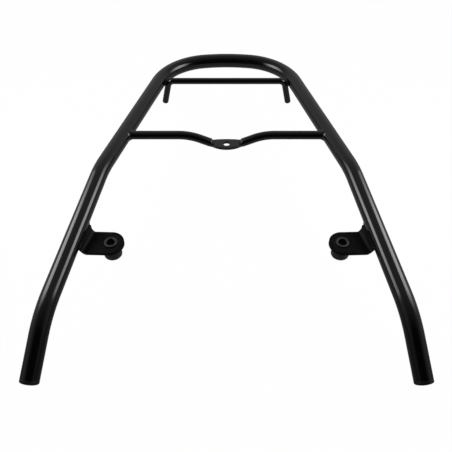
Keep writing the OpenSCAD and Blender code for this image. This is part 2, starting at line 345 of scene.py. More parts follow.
def solid_rod(name, rings, sharp):
    """An enamelled solid of rings, each end closed round a middle point."""
    rows, around = rings.shape[:2]
    vertices = rings.reshape(-1, 3).tolist()
    faces = strip_faces(rows, around)
    for ring, base in ((rings[0], 0), (rings[-1], (rows - 1) * around)):
        middle = len(vertices)
        vertices.append(ring.mean(0).tolist())
        faces += [(base + k, base + (k + 1) % around, middle) for k in range(around)]
    return painted_mesh(name, vertices, faces, sharp)


def ring_piece(name, rows, sharp):
    """Enamelled closed ring of sections, and its mirror image, as one mesh."""
    count, around = rows.shape[:2]
    left = rows.reshape(-1, 3)
    faces = strip_faces(count, around, closed=True)
    faces += [tuple(k + len(left) for k in face) for face in faces]
    return painted_mesh(name, np.vstack([left, left * MIRROR]), faces, sharp)


def worked_copy(node, name, material, edge_mm):
    """A piece with the CAD node's shape, its edges rounded by edge_mm."""
    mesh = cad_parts[node].data.copy()
    mesh.name = name
    bm = bmesh.new()
    bm.from_mesh(mesh)
    bmesh.ops.remove_doubles(bm, verts=bm.verts, dist=0.002 * MM)
    bmesh.ops.dissolve_limit(bm, angle_limit=math.radians(0.5), verts=bm.verts, edges=bm.edges)
    edges = [e for e in bm.edges if e.is_manifold and e.calc_face_angle(0.0) > math.radians(EDGE_ANGLE)]
    bmesh.ops.bevel(
        bm, geom=edges, offset=edge_mm * MM, segments=EDGE_SEGMENTS, profile=0.5, affect="EDGES", clamp_overlap=True
    )
    outward(bm, mesh)
    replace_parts(finished(name, mesh, material), node)


def worked_pairs(*kinds):
    """The left and then the right piece of each kind, given as worked_copy's values without their sides."""
    for side in ("_left", "_right"):
        for node, name, material, slot, edge_mm in kinds:
            worked_copy(node + side, name + side, material, edge_mm)


# finishes


def linear(code):
    """sRGB hex colour to linear RGBA."""
    parts = [int(code[i:i + 2], 16) / 255 for i in (1, 3, 5)]
    return [c / 12.92 if c <= 0.04045 else ((c + 0.055) / 1.055) ** 2.4 for c in parts] + [1.0]


def per_metre(size_mm):
    """Noise scale whose features are about size_mm across."""
    return 1000.0 / size_mm


def new_material(name):
    """Empty material, its tree and the place on the piece."""
    material = bpy.data.materials.new(name)
    tree = emptied(material)
    return material, tree, put(tree, "ShaderNodeTexCoord").node.outputs["Object"]


def mottle(tree, place, size_mm, dark, light, **noise):
    """Clouds about size_mm across, and a colour that wanders with them between dark and light."""
    cloud = put(tree, "ShaderNodeTexNoise", {"Vector": place, "Scale": per_metre(size_mm), **noise})
    ends = {"Factor": cloud, "A": linear(dark), "B": linear(light)}
    return cloud, put(tree, "ShaderNodeMix", ends, data_type="RGBA")


def grained(tree, place, size_mm, strength, depth_mm, detail=3.0):
    """Fine grain about size_mm across, and the normal that it bends."""
    grain = put(tree, "ShaderNodeTexNoise", {"Vector": place, "Scale": per_metre(size_mm), "Detail": detail})
    relief = {"Height": grain, "Strength": strength, "Distance": depth_mm * MM}
    return grain, put(tree, "ShaderNodeBump", relief)


def surface(tree, **inputs):
    """Principled surface joined to the output; inputs are named with underscores for spaces."""
    shader = put(tree, "ShaderNodeBsdfPrincipled", {key.replace("_", " "): value for key, value in inputs.items()})
    put(tree, "ShaderNodeOutputMaterial", {"Surface": shader})


def black_enamel(settings):
    """Stoved black enamel on steel: deep black and glossy, with a faint orange peel and a little dust."""
    material, tree, place = new_material("black_stoved_enamel")
    # clouds of slightly duller gloss, a few centimetres across
    clouds = put(tree, "ShaderNodeTexNoise", {"Vector": place, "Scale": per_metre(35.0), "Detail": 3.0})
    ends = {"To Min": settings.roughness - 0.03, "To Max": settings.roughness + 0.04}
    gloss = put(tree, "ShaderNodeMapRange", {"Value": clouds, **MIDDLE, **ends})
    # sparse grains of dust, 0.4 to 0.8 mm across: coarser than real dust, which would not show
    grains = put(tree, "ShaderNodeTexVoronoi", {"Vector": place, "Scale": per_metre(9.0), "Randomness": 1.0})
    edge = {"From Min": 0.02, "From Max": 0.045, "To Min": 1.0, "To Max": 0.0}
    near = put(tree, "ShaderNodeMapRange", {"Value": grains, **edge})
    ends = {"Factor": near, "A": linear(settings.dark_hex), "B": linear("#232323")}
    colour = put(tree, "ShaderNodeMix", ends, data_type="RGBA")
    _, peel = grained(tree, place, settings.peel_size / MM, 0.25, 0.03, detail=2.0)
    surface(tree, Base_Color=colour, Roughness=gloss, Normal=peel, IOR=settings.ior)
    return material


def dipped_primer(settings):
    """Dipped black primer of the brackets: the spray hardly reaches them, so they stay satin and swallow light."""
    material, tree, place = new_material("black_dipped_primer")
    # runs and thin patches of the dip
    runs, colour = mottle(tree, place, 9.0, "#010101", settings.primer_hex, Detail=4.0, Roughness=0.6)
    rough = put(tree, "ShaderNodeMapRange", {"Value": runs, **MIDDLE, "To Min": 0.34, "To Max": 0.46})
    # painted highlight: a paler line along the fold between tab and flange, on both brackets, where the bend catches
    # light
    fold, turn = to_part(BUSH_AT - [FOLD_OUT, 0, 0]), math.radians(FOLD_TURN)
    middle = -fold[0] * math.cos(turn) + fold[1] * math.sin(turn) + FOLD_HIGHLIGHT_OUT * MM
    parts = put(tree, "ShaderNodeSeparateXYZ", {0: place}).node.outputs
    aside = put(tree, "ShaderNodeMath", {0: parts["X"]}, operation="ABSOLUTE")
    across = put(tree, "ShaderNodeMath", {0: aside, 1: math.cos(turn), 2: -middle}, operation="MULTIPLY_ADD")
    away = put(tree, "ShaderNodeMath", {0: parts["Y"], 1: math.sin(turn), 2: across}, operation="MULTIPLY_ADD")
    distance = put(tree, "ShaderNodeMath", {0: away}, operation="ABSOLUTE")
    edge = {"From Min": FOLD_HIGHLIGHT_FULL * MM, "From Max": FOLD_HIGHLIGHT_END * MM, "To Min": 1.0, "To Max": 0.0}
    painted_highlight = put(tree, "ShaderNodeMapRange", {"Value": distance, **edge})
    ends = {"Factor": painted_highlight, "A": colour, "B": linear("#252526")}
    highlighted = put(tree, "ShaderNodeMix", ends, data_type="RGBA")
    _, grain = grained(tree, place, 1.2, 0.2, 0.03, detail=2.0)
    surface(tree, Base_Color=highlighted, Roughness=rough, Normal=grain, IOR=1.5, Specular_IOR_Level=0.08)
    return material


def moulded_rubber(settings):
    """Moulded rubber: near black, matt, with a fine grain from the mould and a cloudy bloom."""
    material, tree, place = new_material("moulded_black_rubber")
    bloom, colour = mottle(tree, place, 12.0, "#0a0a0b", settings.rubber_hex, Detail=3.0)
    rough = put(tree, "ShaderNodeMapRange", {"Value": bloom, **MIDDLE, "To Min": 0.42, "To Max": 0.55})
    _, grain = grained(tree, place, 0.8, 0.3, 0.05)
    surface(tree, Base_Color=colour, Roughness=rough, Normal=grain, IOR=1.52)
    return material


def turned_steel():
    """Plain turned steel of the sleeves: dulled dark by oil, with the lathe's rings along the bush's axis."""
    material, tree, place = new_material("turned_steel")
    # rings 3.8 mm apart, coarser than the lathe's, which would not show; a wave is pi / 10 long at scale 1
    wave = {"Vector": place, "Scale": math.pi / 10 * per_metre(3.77), "Distortion": 1.5, "Detail": 2.0}
    rings = put(tree, "ShaderNodeTexWave", wave, wave_type="BANDS", bands_direction="Z").node.outputs["Fac"]
    _, colour = mottle(tree, place, 4.0, "#1f1e1d", "#3b3a38", Detail=4.0)
    ends = {"From Min": 0.0, "From Max": 1.0, "To Min": 0.35, "To Max": 0.5}
    rough = put(tree, "ShaderNodeMapRange", {"Value": rings, **ends})
    relief = put(tree, "ShaderNodeBump", {"Height": rings, "Strength": 0.2, "Distance": 0.03 * MM})
    surface(tree, Base_Color=colour, Metallic=1.0, Roughness=rough, Normal=relief)
    return material


def moulded_plastic():
    """Moulded polyethylene of the end plugs: black, half gloss, with a fine spark grain."""
    material, tree, place = new_material("moulded_black_polyethylene")
    fine, grain = grained(tree, place, 0.7, 0.25, 0.04)
    rough = put(tree, "ShaderNodeMapRange", {"Value": fine, **MIDDLE, "To Min": 0.36, "To Max": 0.5})
    surface(tree, Base_Color=linear("#0d0d0e"), Roughness=rough, Normal=grain, IOR=1.5)
    return material


def enamel():
    """The one enamel material, made when first asked for."""
    return bpy.data.materials.get("black_stoved_enamel") or black_enamel(bpy.context.scene.rack_finishes)


# tube and bars


def bent_rod_tree(material):
    """Node tree that carries a round section along a path: a tube where it has a wall, otherwise a solid rod."""
    sizes = {"Outside radius": ("Float", 0.009), "Wall": ("Float", 0.0), "Sides": ("Int", 64)}
    tree, sockets = node_group("bent_rod", sizes)
    given = put(tree, "NodeGroupInput").node.outputs
    path, outside, wall, sides = (given[key] for key in ("Geometry", *sizes))
    hollow = put(tree, "FunctionNodeCompare", {0: wall, 1: 0.0}, operation="GREATER_THAN")
    solid = put(tree, "FunctionNodeBooleanMath", {0: hollow}, operation="NOT")
    rim = put(tree, "GeometryNodeCurvePrimitiveCircle", {"Radius": outside, "Resolution": sides})
    factor = put(tree, "GeometryNodeInputRadius")
    swept = {"Curve": path, "Profile Curve": rim, "Scale": factor, "Fill Caps": solid}
    skin = put(tree, "GeometryNodeCurveToMesh", swept)
    inside = put(tree, "ShaderNodeMath", {0: outside, 1: wall}, operation="SUBTRACT")
    bore_rim = put(tree, "GeometryNodeCurvePrimitiveCircle", {"Radius": inside, "Resolution": sides})
    bore = put(tree, "GeometryNodeCurveToMesh", {"Curve": path, "Profile Curve": bore_rim})
    turned = put(tree, "GeometryNodeFlipFaces", {"Mesh": bore})
    kept = put(tree, "GeometryNodeSwitch", {"Switch": hollow, "True": turned}, input_type="GEOMETRY")
    both = put(tree, "GeometryNodeJoinGeometry")
    for part in (skin, kept):
        tree.links.new(part, both.node.inputs[0])
    close_tree(tree, both, material)
    return tree, sockets


def rod_piece(name, node, points, radii, values):
    """An enamelled bent rod or tube in place of a CAD node."""
    tree, sockets = bent_rod_tree(enamel())
    mesh = run_tree(path_object(name + "_path", points, radii), tree, sockets, values)
    mesh.name = name
    bm = bmesh.new()
    bm.from_mesh(mesh)
    # the ring-shaped ends of a hollow tube
    rims = [e for e in bm.edges if e.is_boundary]
    for end in (-1, 1):
        near = [e for e in rims if e.verts[0].co.x * end > 0]
        if near:
            bmesh.ops.bridge_loops(bm, edges=near)
    outward(bm, mesh)
    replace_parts(finished(name, mesh, enamel()), node)


def peg_line():
    """Centre line of the rear bar's left half, from the middle to the peg's tip, and the bar's radius along it."""
    peg = np.array([-math.sin(math.radians(PEG_SPLAY)), 0.0, -math.cos(math.radians(PEG_SPLAY))])
    tangent = REAR_BEND * math.tan(math.radians(90 - PEG_SPLAY) / 2)
    run = PEG_DROP / math.cos(math.radians(PEG_SPLAY)) - tangent
    steps = [REAR_HALF - tangent, (peg, REAR_BEND), run - PEG_ROUND]
    points, dirs = bent_line([0, -REAR_BACK, 0], [-1, 0, 0], steps, bend_step=0.6)
    turn = math.pi / 2 * np.arange(1, PEG_ROUND_RINGS + 1) / PEG_ROUND_RINGS
    tip = points[-1] + np.outer(PEG_ROUND * np.sin(turn), peg)
    radii = [REAR_R] * len(points) + [REAR_R - PEG_ROUND + PEG_ROUND * math.cos(a) for a in turn]
    return np.vstack([points, tip]), np.vstack([dirs, np.tile(peg, (len(tip), 1))]), radii


def dip_height(x):
    """Height and slope of the cross bar's centre line at x, in millimetres and radians."""
    s = math.radians(DIP_SLOPE)
    u = DIP_START - abs(x)
    upper = DIP_UPPER * math.sin(s)
    straight = (DIP_DEPTH - (DIP_UPPER + DIP_LOWER) * (1 - math.cos(s))) / math.tan(s)
    lower = DIP_LOWER * math.sin(s)
    if u <= 0:
        return 0.0, 0.0
    if u <= upper:
        return -(DIP_UPPER - math.sqrt(DIP_UPPER**2 - u**2)), math.asin(u / DIP_UPPER)
    if u <= upper + straight:
        return -DIP_UPPER * (1 - math.cos(s)) - (u - upper) * math.tan(s), s
    left = upper + straight + lower - u
    if left > 0:
        return -DIP_DEPTH + DIP_LOWER - math.sqrt(DIP_LOWER**2 - left**2), math.asin(left / DIP_LOWER)
    return -DIP_DEPTH, 0.0


def flat_edges(x):
    """Front and rear edge of the forged flat at x, measured from the bar's centre line, or None beyond it."""
    end = FLAT_HALF + FLAT_CORNER
    if abs(x) >= end:
        return None
    reach = math.sqrt(end**2 - x**2)
    front = FLAT_SHIFT - FLAT_W / 2 + FLAT_FRONT - math.sqrt(FLAT_FRONT**2 - x**2)
    rear = FLAT_SHIFT + FLAT_W / 2 - FLAT_REAR + math.sqrt(FLAT_REAR**2 - x**2)
    return max(front, FLAT_SHIFT - reach), min(rear, FLAT_SHIFT + reach)


def cross_section(x, angles):
    """Reach of the cross bar's skin from its core line, in each direction, at x; also the core's height."""
    height, slope = dip_height(x)
    # the core line sinks gently from the bar's middle to the flat's middle
    sunk = min(1.0, max(0.0, (SINK_START - abs(x)) / SINK_RUN))
    core = height - (CROSS_R - FLAT_T / 2 - SINK_SPARE) * sunk * sunk * (3 - 2 * sunk)
    die = FLAT_TOP + max(0.0, abs(x) - FLAT_HALF) * (2 * CROSS_R / SHOULDER_RUN)
    edges = flat_edges(x)
    # the flat's section stands on the belly and reaches past the die's face, which cuts it
    half_height = (FLAT_T + FLAT_EASE) / 2
    belly = FLAT_TOP - FLAT_T + FLAT_EASE

    def inside(reach):
        y, z = np.cos(angles) * reach, core + np.sin(angles) * reach
        within = (y / CROSS_R) ** 2 + ((z - height) * math.cos(slope) / CROSS_R) ** 2 <= 1.0
        if edges:
            middle, half = sum(edges) / 2, (edges[1] - edges[0]) / 2 + FLAT_EASE
            across, up = np.abs(y - middle) / half, np.abs(z - belly - half_height) / half_height
            within |= across**EDGE_POWER + up**FACE_POWER <= 1.0
        return within & (z <= die)

    held = inside(REACHES_TRIED[:, None])
    most = len(REACHES_TRIED) - 1
    last = most - np.argmax(held[::-1], axis=0)
    low, high = REACHES_TRIED[last], REACHES_TRIED[np.minimum(last + 1, most)]
    for _ in range(HALVINGS):
        halfway = (low + high) / 2
        held = inside(halfway)
        low, high = np.where(held, halfway, low), np.where(held, high, halfway)
    return low, core


def on_side_tube(y, z, depth):
    """x at which a line along X reaches the left side tube's cylinder, depth under its skin."""
    d, r = heading(SIDE_SPLAY, 0.0), TUBE_R - depth
    # square distance from the axis is |q|^2 - (q.d)^2 with q = (x, y, z) - SIDE_START
    qy, qz = y - SIDE_START[1], z - SIDE_START[2]
    a = 1 - d[0] ** 2
    b = -2 * qy * d[1] * d[0]
    c = qy**2 + qz**2 - (qy * d[1]) ** 2 - r**2
    return SIDE_START[0] + (-b + math.sqrt(b * b - 4 * a * c)) / (2 * a)


def joint_point(a, reach, depth):
    """Point at angle a and reach from the cross bar's axis, depth under the left side tube's skin."""
    y, z = math.cos(a) * reach - CROSS_BACK, math.sin(a) * reach
    return np.array([on_side_tube(y, z, depth), y, z])


def blurred(grid, passes):
    """Softens a grid of reaches along the bar, which rounds the shoulders."""
    for _ in range(passes):
        inner = (grid[:-2] + 2 * grid[1:-1] + grid[2:]) / 4
        grid = np.vstack([grid[:1], inner, grid[-1:]])
    return grid


def cross_bar_rings(around=160):
    """Rings of the cross bar from left to right, ends fitted into the side tubes."""
    left = np.concatenate([np.arange(*stretch) for stretch in STATIONS])
    stations = np.concatenate([left, [0.0], -left[::-1]])
    # more points at the front and rear edges, where the flat is thin
    turn = np.linspace(0, 2 * math.pi, around, endpoint=False)
    angles = turn - EDGE_CROWDING * np.sin(2 * turn)
    reaches, cores = zip(*[cross_section(x, angles) for x in stations])
    forged = np.abs(stations) <= SOFT_HALF
    reaches = np.array(reaches)
    reaches[forged] = blurred(reaches[forged], SOFT_PASSES)
    rings = []
    for x, reach, core in zip(stations, reaches, cores):
        y = np.cos(angles) * reach - CROSS_BACK
        z = np.sin(angles) * reach + core
        rings.append(np.stack([np.full(around, x), y, z], 1))
    end = np.array([joint_point(a, CROSS_R, END_SINK) for a in angles])
    return np.array([end, *rings, end * MIRROR])


def drill(obj, place, radius, depth, sharp):
    """Cuts a round hole down through obj at place, in metres."""
    bpy.ops.mesh.primitive_cylinder_add(vertices=96, radius=radius, depth=depth, location=place)
    cutter = bpy.context.active_object
    cut = obj.modifiers.new("hole", "BOOLEAN")
    cut.operation = "DIFFERENCE"
    cut.solver = "EXACT"
    cut.object = cutter
    mesh = bpy.data.meshes.new_from_object(obj.evaluated_get(bpy.context.evaluated_depsgraph_get()))
    obj.modifiers.remove(cut)
    bpy.data.objects.remove(cutter)
    old, obj.data = obj.data, mesh
    bpy.data.meshes.remove(old)
    mesh.name = obj.name
    smoothed(mesh, sharp)


# welds


def fillet_round_cross_bar(settings, around=180):
    """Sections of the fillet weld at the cross bar's left end, from the bar's skin to the side tube's skin."""
    along, up, seed = settings.cross_along / MM, settings.cross_width / MM, settings.seed
    rows = []
    for a in np.linspace(0, 2 * math.pi, around, endpoint=False):
        # the welder's pools follow each other round the joint
        ripple = POOL_RIPPLE * math.sin(POOLS * a + POOL_DRIFT * math.sin(2 * a + seed))
        pool = 1.0 + ripple + POOL_WANDER * math.sin(3 * a + seed)
        corner = joint_point(a, CROSS_R, 0.0)
        inward = -FILLET_SINK * np.array([0.0, math.cos(a), math.sin(a)])
        on_bar = corner + [along * pool, 0.0, 0.0] + inward
        foot = joint_point(a, CROSS_R + up * pool, FILLET_SINK)
        knee = corner * FILLET_HOLLOW + (on_bar + foot) * (1 - FILLET_HOLLOW) / 2
        parts = np.linspace(0, 1, FILLET_POINTS)
        curve = [(1 - t) ** 2 * on_bar + 2 * t * (1 - t) * knee + t**2 * foot for t in parts]
        rows.append([*curve, joint_point(a, CROSS_R - ROOT_REACH, ROOT_SINK)])
    return np.array(rows)


def rings_along(points, dirs, radius, around):
    """Circles square to a line, without twist."""
    # any direction that isn't the line's own starts the first circle
    side = unit(np.cross(dirs[0], [0.1, 0.2, 1.0]))
    angles = np.linspace(0, 2 * math.pi, around, endpoint=False)
    rings = []
    for p, t in zip(points, dirs):
        side = unit(side - t * (side @ t))
        up = np.cross(t, side)
        rings.append(p + radius * (np.outer(np.cos(angles), side) + np.outer(np.sin(angles), up)))
    return np.array(rings)


def loop_at_rear_corner():
    """Joint of the rear bar's left corner with the hoop, above and below the touching line; its bead is even."""
    points, dirs, _ = peg_line()
    hoop = hoop_half()
    fine = np.vstack([hoop[:-1] + (hoop[1:] - hoop[:-1]) * f for f in np.arange(0, 1, 0.1)])
    upper, lower = [], []
    for ring in rings_along(points, dirs, REAR_R, around=180):
        gap = np.array([np.min(np.linalg.norm(fine - q, axis=1)) for q in ring]) - TUBE_R
        if gap.min() < 0:
            inside = ring[gap < 0]
            upper.append(inside[np.argmax(inside[:, 2])])
            lower.append(inside[np.argmin(inside[:, 2])])
    return np.array(upper + lower[::-1]), None


def loop_round_flange():
    """Joint of the left bracket's flange with the leg, over the flange and back under it, and the bead's swell."""
    leg = heading(LEG_SPLAY, LEG_SLOPE)
    turn, slope, skew = (math.radians(v) for v in (FOLD_TURN, FLANGE_SLOPE, FOLD_TURN - TAB_TURN))
    along = np.array([math.sin(turn), math.cos(turn), 0.0])
    out = np.array([-math.cos(turn) * math.cos(slope), math.sin(turn) * math.cos(slope), math.sin(slope)])
    normal = np.cross(along, out)
    normal *= np.sign(normal[2])
    shift = FOLD_OUT * math.sin(math.radians(TAB_TURN))
    front = (-TAB_W / 2 + shift) / math.cos(skew) + BEAD_FRONT_IN
    rear = (TAB_W / 2 + shift) / math.cos(skew) + FLANGE_FLARE - BEAD_REAR_IN
    fold = BUSH_AT - [FOLD_OUT, 0, 0]

    def meeting(u, drop):
        for w in FLANGE_TRIED:
            q = fold + along * u + out * w - normal * drop
            v = q - LEG_START
            if np.linalg.norm(v - leg * (v @ leg)) < TUBE_R - BEAD_SINK:
                break
        return q

    run = np.linspace(front, rear, 32)
    upper = [meeting(u, BEAD_SINK) for u in run]
    lower = [meeting(u, PLATE_T - BEAD_SINK) for u in run[::-1]]
    # the bead ends in a larger pool at the flange's rear end
    swell = 1.0 + LAST_POOL_SWELL * np.clip((run - rear + LAST_POOL_RUN) / LAST_POOL_RUN, 0, 1) ** 1.5
    return np.array(upper + lower), np.concatenate([swell, swell[::-1]])


def bead_tree(material):
    """Node tree that lays a rippled weld bead along a closed path."""
    sizes = {
        "Bead width": ("Float", 0.003),
        "Ripple spacing": ("Float", 0.0012),
        "Ripple height": ("Float", 0.0001),
        "Unevenness": ("Float", 0.0003),
        "Seed": ("Float", 3.0),
    }
    tree, sockets = node_group("weld_bead", sizes)
    given = put(tree, "NodeGroupInput").node.outputs
    path, width, spacing, height, unevenness, seed = (given[key] for key in ("Geometry", *sizes))
    spaced = put(tree, "GeometryNodeResampleCurve", {"Curve": path, "Length": 0.3 * MM}, mode="LENGTH")
    kept = put(tree, "GeometryNodeCaptureAttribute", {"Geometry": spaced}).node
    kept.capture_items.new("FLOAT", "Run")
    tree.links.new(put(tree, "GeometryNodeSplineParameter").node.outputs["Length"], kept.inputs["Run"])
    half = put(tree, "ShaderNodeMath", {0: width, 1: 0.5}, operation="MULTIPLY")
    rim = put(tree, "GeometryNodeCurvePrimitiveCircle", {"Radius": half, "Resolution": 20})
    factor = put(tree, "GeometryNodeInputRadius")
    swept = {"Curve": kept.outputs["Geometry"], "Profile Curve": rim, "Scale": factor}
    bead = put(tree, "GeometryNodeCurveToMesh", swept)
    turns = put(tree, "ShaderNodeMath", {0: kept.outputs["Run"], 1: spacing}, operation="DIVIDE")
    angle = put(tree, "ShaderNodeMath", {0: turns, 1: 2 * math.pi}, operation="MULTIPLY")
    wave = put(tree, "ShaderNodeMath", {0: angle}, operation="SINE")
    ripple = put(tree, "ShaderNodeMath", {0: wave, 1: height}, operation="MULTIPLY")
    place = put(tree, "GeometryNodeInputPosition")
    noise = {"Vector": place, "W": seed, "Scale": per_metre(5.0), "Detail": 1.0}
    lumps = put(tree, "ShaderNodeTexNoise", noise, noise_dimensions="4D")
    # a noise strays about a quarter from its middle, so four times it fills the range from -1 to 1
    stray = put(tree, "ShaderNodeMath", {0: lumps, 1: 4.0, 2: -2.0}, operation="MULTIPLY_ADD")
    push = put(tree, "ShaderNodeMath", {0: stray, 1: unevenness, 2: ripple}, operation="MULTIPLY_ADD")
    normal = put(tree, "GeometryNodeInputNormal")
    offset = put(tree, "ShaderNodeVectorMath", {0: normal, "Scale": push}, operation="SCALE")
    moved = put(tree, "GeometryNodeSetPosition", {"Geometry": bead, "Offset": offset})
    close_tree(tree, moved, material)
    return tree, sockets


def bead_piece(name, loop, factors, width, settings):
    """Weld beads along a closed loop and its mirror image, as one mesh."""
    tree, sockets = bead_tree(enamel())
    values = {
        "Bead width": width,
        "Ripple spacing": settings.ripple_spacing,
        "Ripple height": settings.ripple_height,
        "Unevenness": settings.unevenness,
        "Seed": float(settings.seed),
    }
    bm = bmesh.new()
    for points in (loop, loop * MIRROR):
        bead = run_tree(path_object(name + "_path", points, factors, cyclic=True), tree, sockets, values)
        bm.from_mesh(bead)
        bpy.data.meshes.remove(bead)
    mesh = bpy.data.meshes.new(name)
    outward(bm, mesh)
    finished(name, mesh, enamel(), sharp=WELD_SHARP)


# stage


def white_surface(gloss_level):
    """Matt white paper that the camera sees as white but for a soft shadow, and gloss as a paler grey."""
    material, tree, place = new_material("matt_white_paper")
    _, colour = mottle(tree, place, 600.0, "#f4f4f4", "#ffffff", Detail=1.0)
    matt = put(tree, "ShaderNodeBsdfDiffuse", {"Color": colour})
    rays = put(tree, "ShaderNodeLightPath").node.outputs
    seen, mirrored, through = (rays[key] for key in ("Is Camera Ray", "Is Glossy Ray", "Is Transmission Ray"))
    gloss = put(tree, "ShaderNodeMath", {0: mirrored, 1: through}, operation="MAXIMUM")
    parts = put(tree, "ShaderNodeSeparateXYZ", {0: place}).node.outputs
    (front, rear), (low, high) = FADE_PLACES, RISE_HEIGHTS
    # painted shade: gloss sees the floor dimmer towards the camera, where the rack shades it
    fade = {"From Min": front, "From Max": rear, "To Min": FADE_LEFT * gloss_level, "To Max": gloss_level}
    along = put(tree, "ShaderNodeMapRange", {"Value": parts["Y"], **fade})
    rise = {"From Min": low, "From Max": high, "To Min": 0.0, "To Max": RISE_LEVEL}
    height = put(tree, "ShaderNodeMapRange", {"Value": parts["Z"], **rise})
    glow = put(tree, "ShaderNodeMath", {0: along, 1: height}, operation="ADD")
    dimmed = put(tree, "ShaderNodeMath", {0: gloss, 1: glow}, operation="MULTIPLY")
    level = put(tree, "ShaderNodeMath", {0: seen, 1: dimmed}, operation="MAXIMUM")
    light = put(tree, "ShaderNodeEmission", {"Color": linear("#ffffff"), "Strength": level})
    share = put(tree, "ShaderNodeMath", {0: seen, 1: CAMERA_SHARE, 2: gloss}, operation="MULTIPLY_ADD")
    mixed = put(tree, "ShaderNodeMixShader", {0: share, 1: matt, 2: light})
    put(tree, "ShaderNodeOutputMaterial", {"Surface": mixed})
    return material


def white_cove(settings):
    """Floor that curves up into a backdrop behind the rack."""
    bend = [(math.sin(a), 1 - math.cos(a)) for a in np.linspace(0.1, math.pi / 2, 14)]
    profile = [(COVE_FRONT, 0.0), (COVE_REAR, 0.0), *((COVE_REAR + COVE_R * y, COVE_R * z) for y, z in bend)]
    profile += [(COVE_REAR + COVE_R, COVE_TOP)]
    vertices = [(x, y, z - COVE_GAP) for y, z in profile for x in (-COVE_HALF, COVE_HALF)]
    faces = [(2 * i, 2 * i + 1, 2 * i + 3, 2 * i + 2) for i in range(len(profile) - 1)]
    mesh = bpy.data.meshes.new("white_cove")
    mesh.from_pydata(vertices, [], faces)
    mesh.materials.append(white_surface(settings.floor_gloss))
    smoothed(mesh, PLAIN_SHARP)
    placed("white_cove", mesh)


def side_panel(name, side, settings):
    """Upright lamp panel of the light tent, close beside the rack and turned towards it."""
    lamp = bpy.data.lights.new(name, "AREA")
    lamp.shape = "RECTANGLE"
    lamp.size, lamp.size_y = settings.panel_length, settings.panel_height
    lamp.energy = settings.panel_power
    # brightest beside the rack's middle, fading towards the camera and behind the hoop
    tree = emptied(lamp)
    place = put(tree, "ShaderNodeNewGeometry")
    along = put(tree, "ShaderNodeSeparateXYZ", {0: place}).node.outputs["Y"]
    front = settings.panel_back - settings.panel_length / 2
    start, end = (front + run for run in PANEL_FALL)
    rise = {"Value": along, "From Min": front, "From Max": front + PANEL_FULL, "To Min": 0.0, "To Max": 1.0}
    fall = {"Value": along, "From Min": start, "From Max": end, "To Min": 1.0, "To Max": PANEL_LEFT}
    ramps = [put(tree, "ShaderNodeMapRange", ramp, interpolation_type="SMOOTHSTEP") for ramp in (rise, fall)]
    level = put(tree, "ShaderNodeMath", dict(enumerate(ramps)), operation="MULTIPLY")
    light = put(tree, "ShaderNodeEmission", {"Color": linear("#ffffff"), "Strength": level})
    put(tree, "ShaderNodeOutputLight", {"Surface": light})
    obj = placed(name, lamp)
    obj.location = (side * settings.panel_out, settings.panel_back, settings.panel_up)
    aim = Vector((side, 0.0, PANEL_LEAN)).normalized()
    obj.rotation_euler = aim.to_track_quat("Z", "Y").to_euler()


def tent_world():
    """Light tent: pale behind the rack, dark behind the camera, white where the camera looks past the floor."""
    world = bpy.data.worlds.new("light_tent")
    bpy.context.scene.world = world
    tree = emptied(world)
    way = put(tree, "ShaderNodeTexCoord").node.outputs["Generated"]
    parts = put(tree, "ShaderNodeSeparateXYZ", {0: way}).node.outputs
    (front, rear), (dark, pale) = TENT_WAYS, TENT_LEVELS
    ends = {"From Min": front, "From Max": rear, "To Min": dark, "To Max": pale}
    back = put(tree, "ShaderNodeMapRange", {"Value": parts["Y"], **ends})
    across = put(tree, "ShaderNodeMath", {0: parts["X"]}, operation="ABSOLUTE")
    ends = {"From Min": TENT_SIDE_WAY, "From Max": 1.0, "To Min": 0.0, "To Max": TENT_SIDE_LEVEL}
    sides = put(tree, "ShaderNodeMapRange", {"Value": across, **ends}, interpolation_type="SMOOTHSTEP")
    glow = put(tree, "ShaderNodeMath", {0: back, 1: sides}, operation="ADD")
    seen = put(tree, "ShaderNodeLightPath").node.outputs["Is Camera Ray"]
    level = put(tree, "ShaderNodeMix", {"Factor": seen, "A": glow, "B": 1.0}, data_type="FLOAT")
    ground = put(tree, "ShaderNodeBackground", {"Color": linear("#ffffff"), "Strength": level})
    put(tree, "ShaderNodeOutputWorld", {"Surface": ground})


def front_camera(settings):
    """Camera in front of the rack, which looks down on the hoop."""
    camera = bpy.data.cameras.new("camera")
    camera.sensor_width = 36.0
    camera.lens = settings.lens
    camera.shift_x, camera.shift_y = (off / PICTURE for off in OFF_AXIS)
    holder = placed("camera", camera)
    holder.location = (0.0, SHIFT_Y * MM - settings.camera_back, LIFT * MM + settings.camera_up)
    holder.rotation_euler = (math.pi / 2 - settings.pitch, 0.0, 0.0)
    bpy.context.scene.camera = holder


# settings

LENGTH = {"subtype": "DISTANCE", "unit": "LENGTH"}


class RackFinishSettings(PropertyGroup):
    """Enamel, primer and rubber."""

    dark_hex: StringProperty(name="Enamel", description="sRGB colour of the enamel", default="#050506")
    primer_hex: StringProperty(
        name="Primer", description="sRGB colour of the primer where it is thin", default="#0c0c0d"
    )
    rubber_hex: StringProperty(
        name="Rubber", description="sRGB colour of the rubber where it has bloomed", default="#131314"
    )
    roughness: FloatProperty(
        name="Roughness", description="Mean roughness of the enamel", default=0.1, min=0.05, max=0.8, subtype="FACTOR"
    )
    ior: FloatProperty(
        name="Refractive index", description="Refractive index of the enamel", default=1.5, min=1.3, max=1.7
    )
    peel_size: FloatProperty(
        name="Orange peel", description="Width of the enamel's ripples", default=0.0016, min=0.0005, max=0.01, **LENGTH
    )


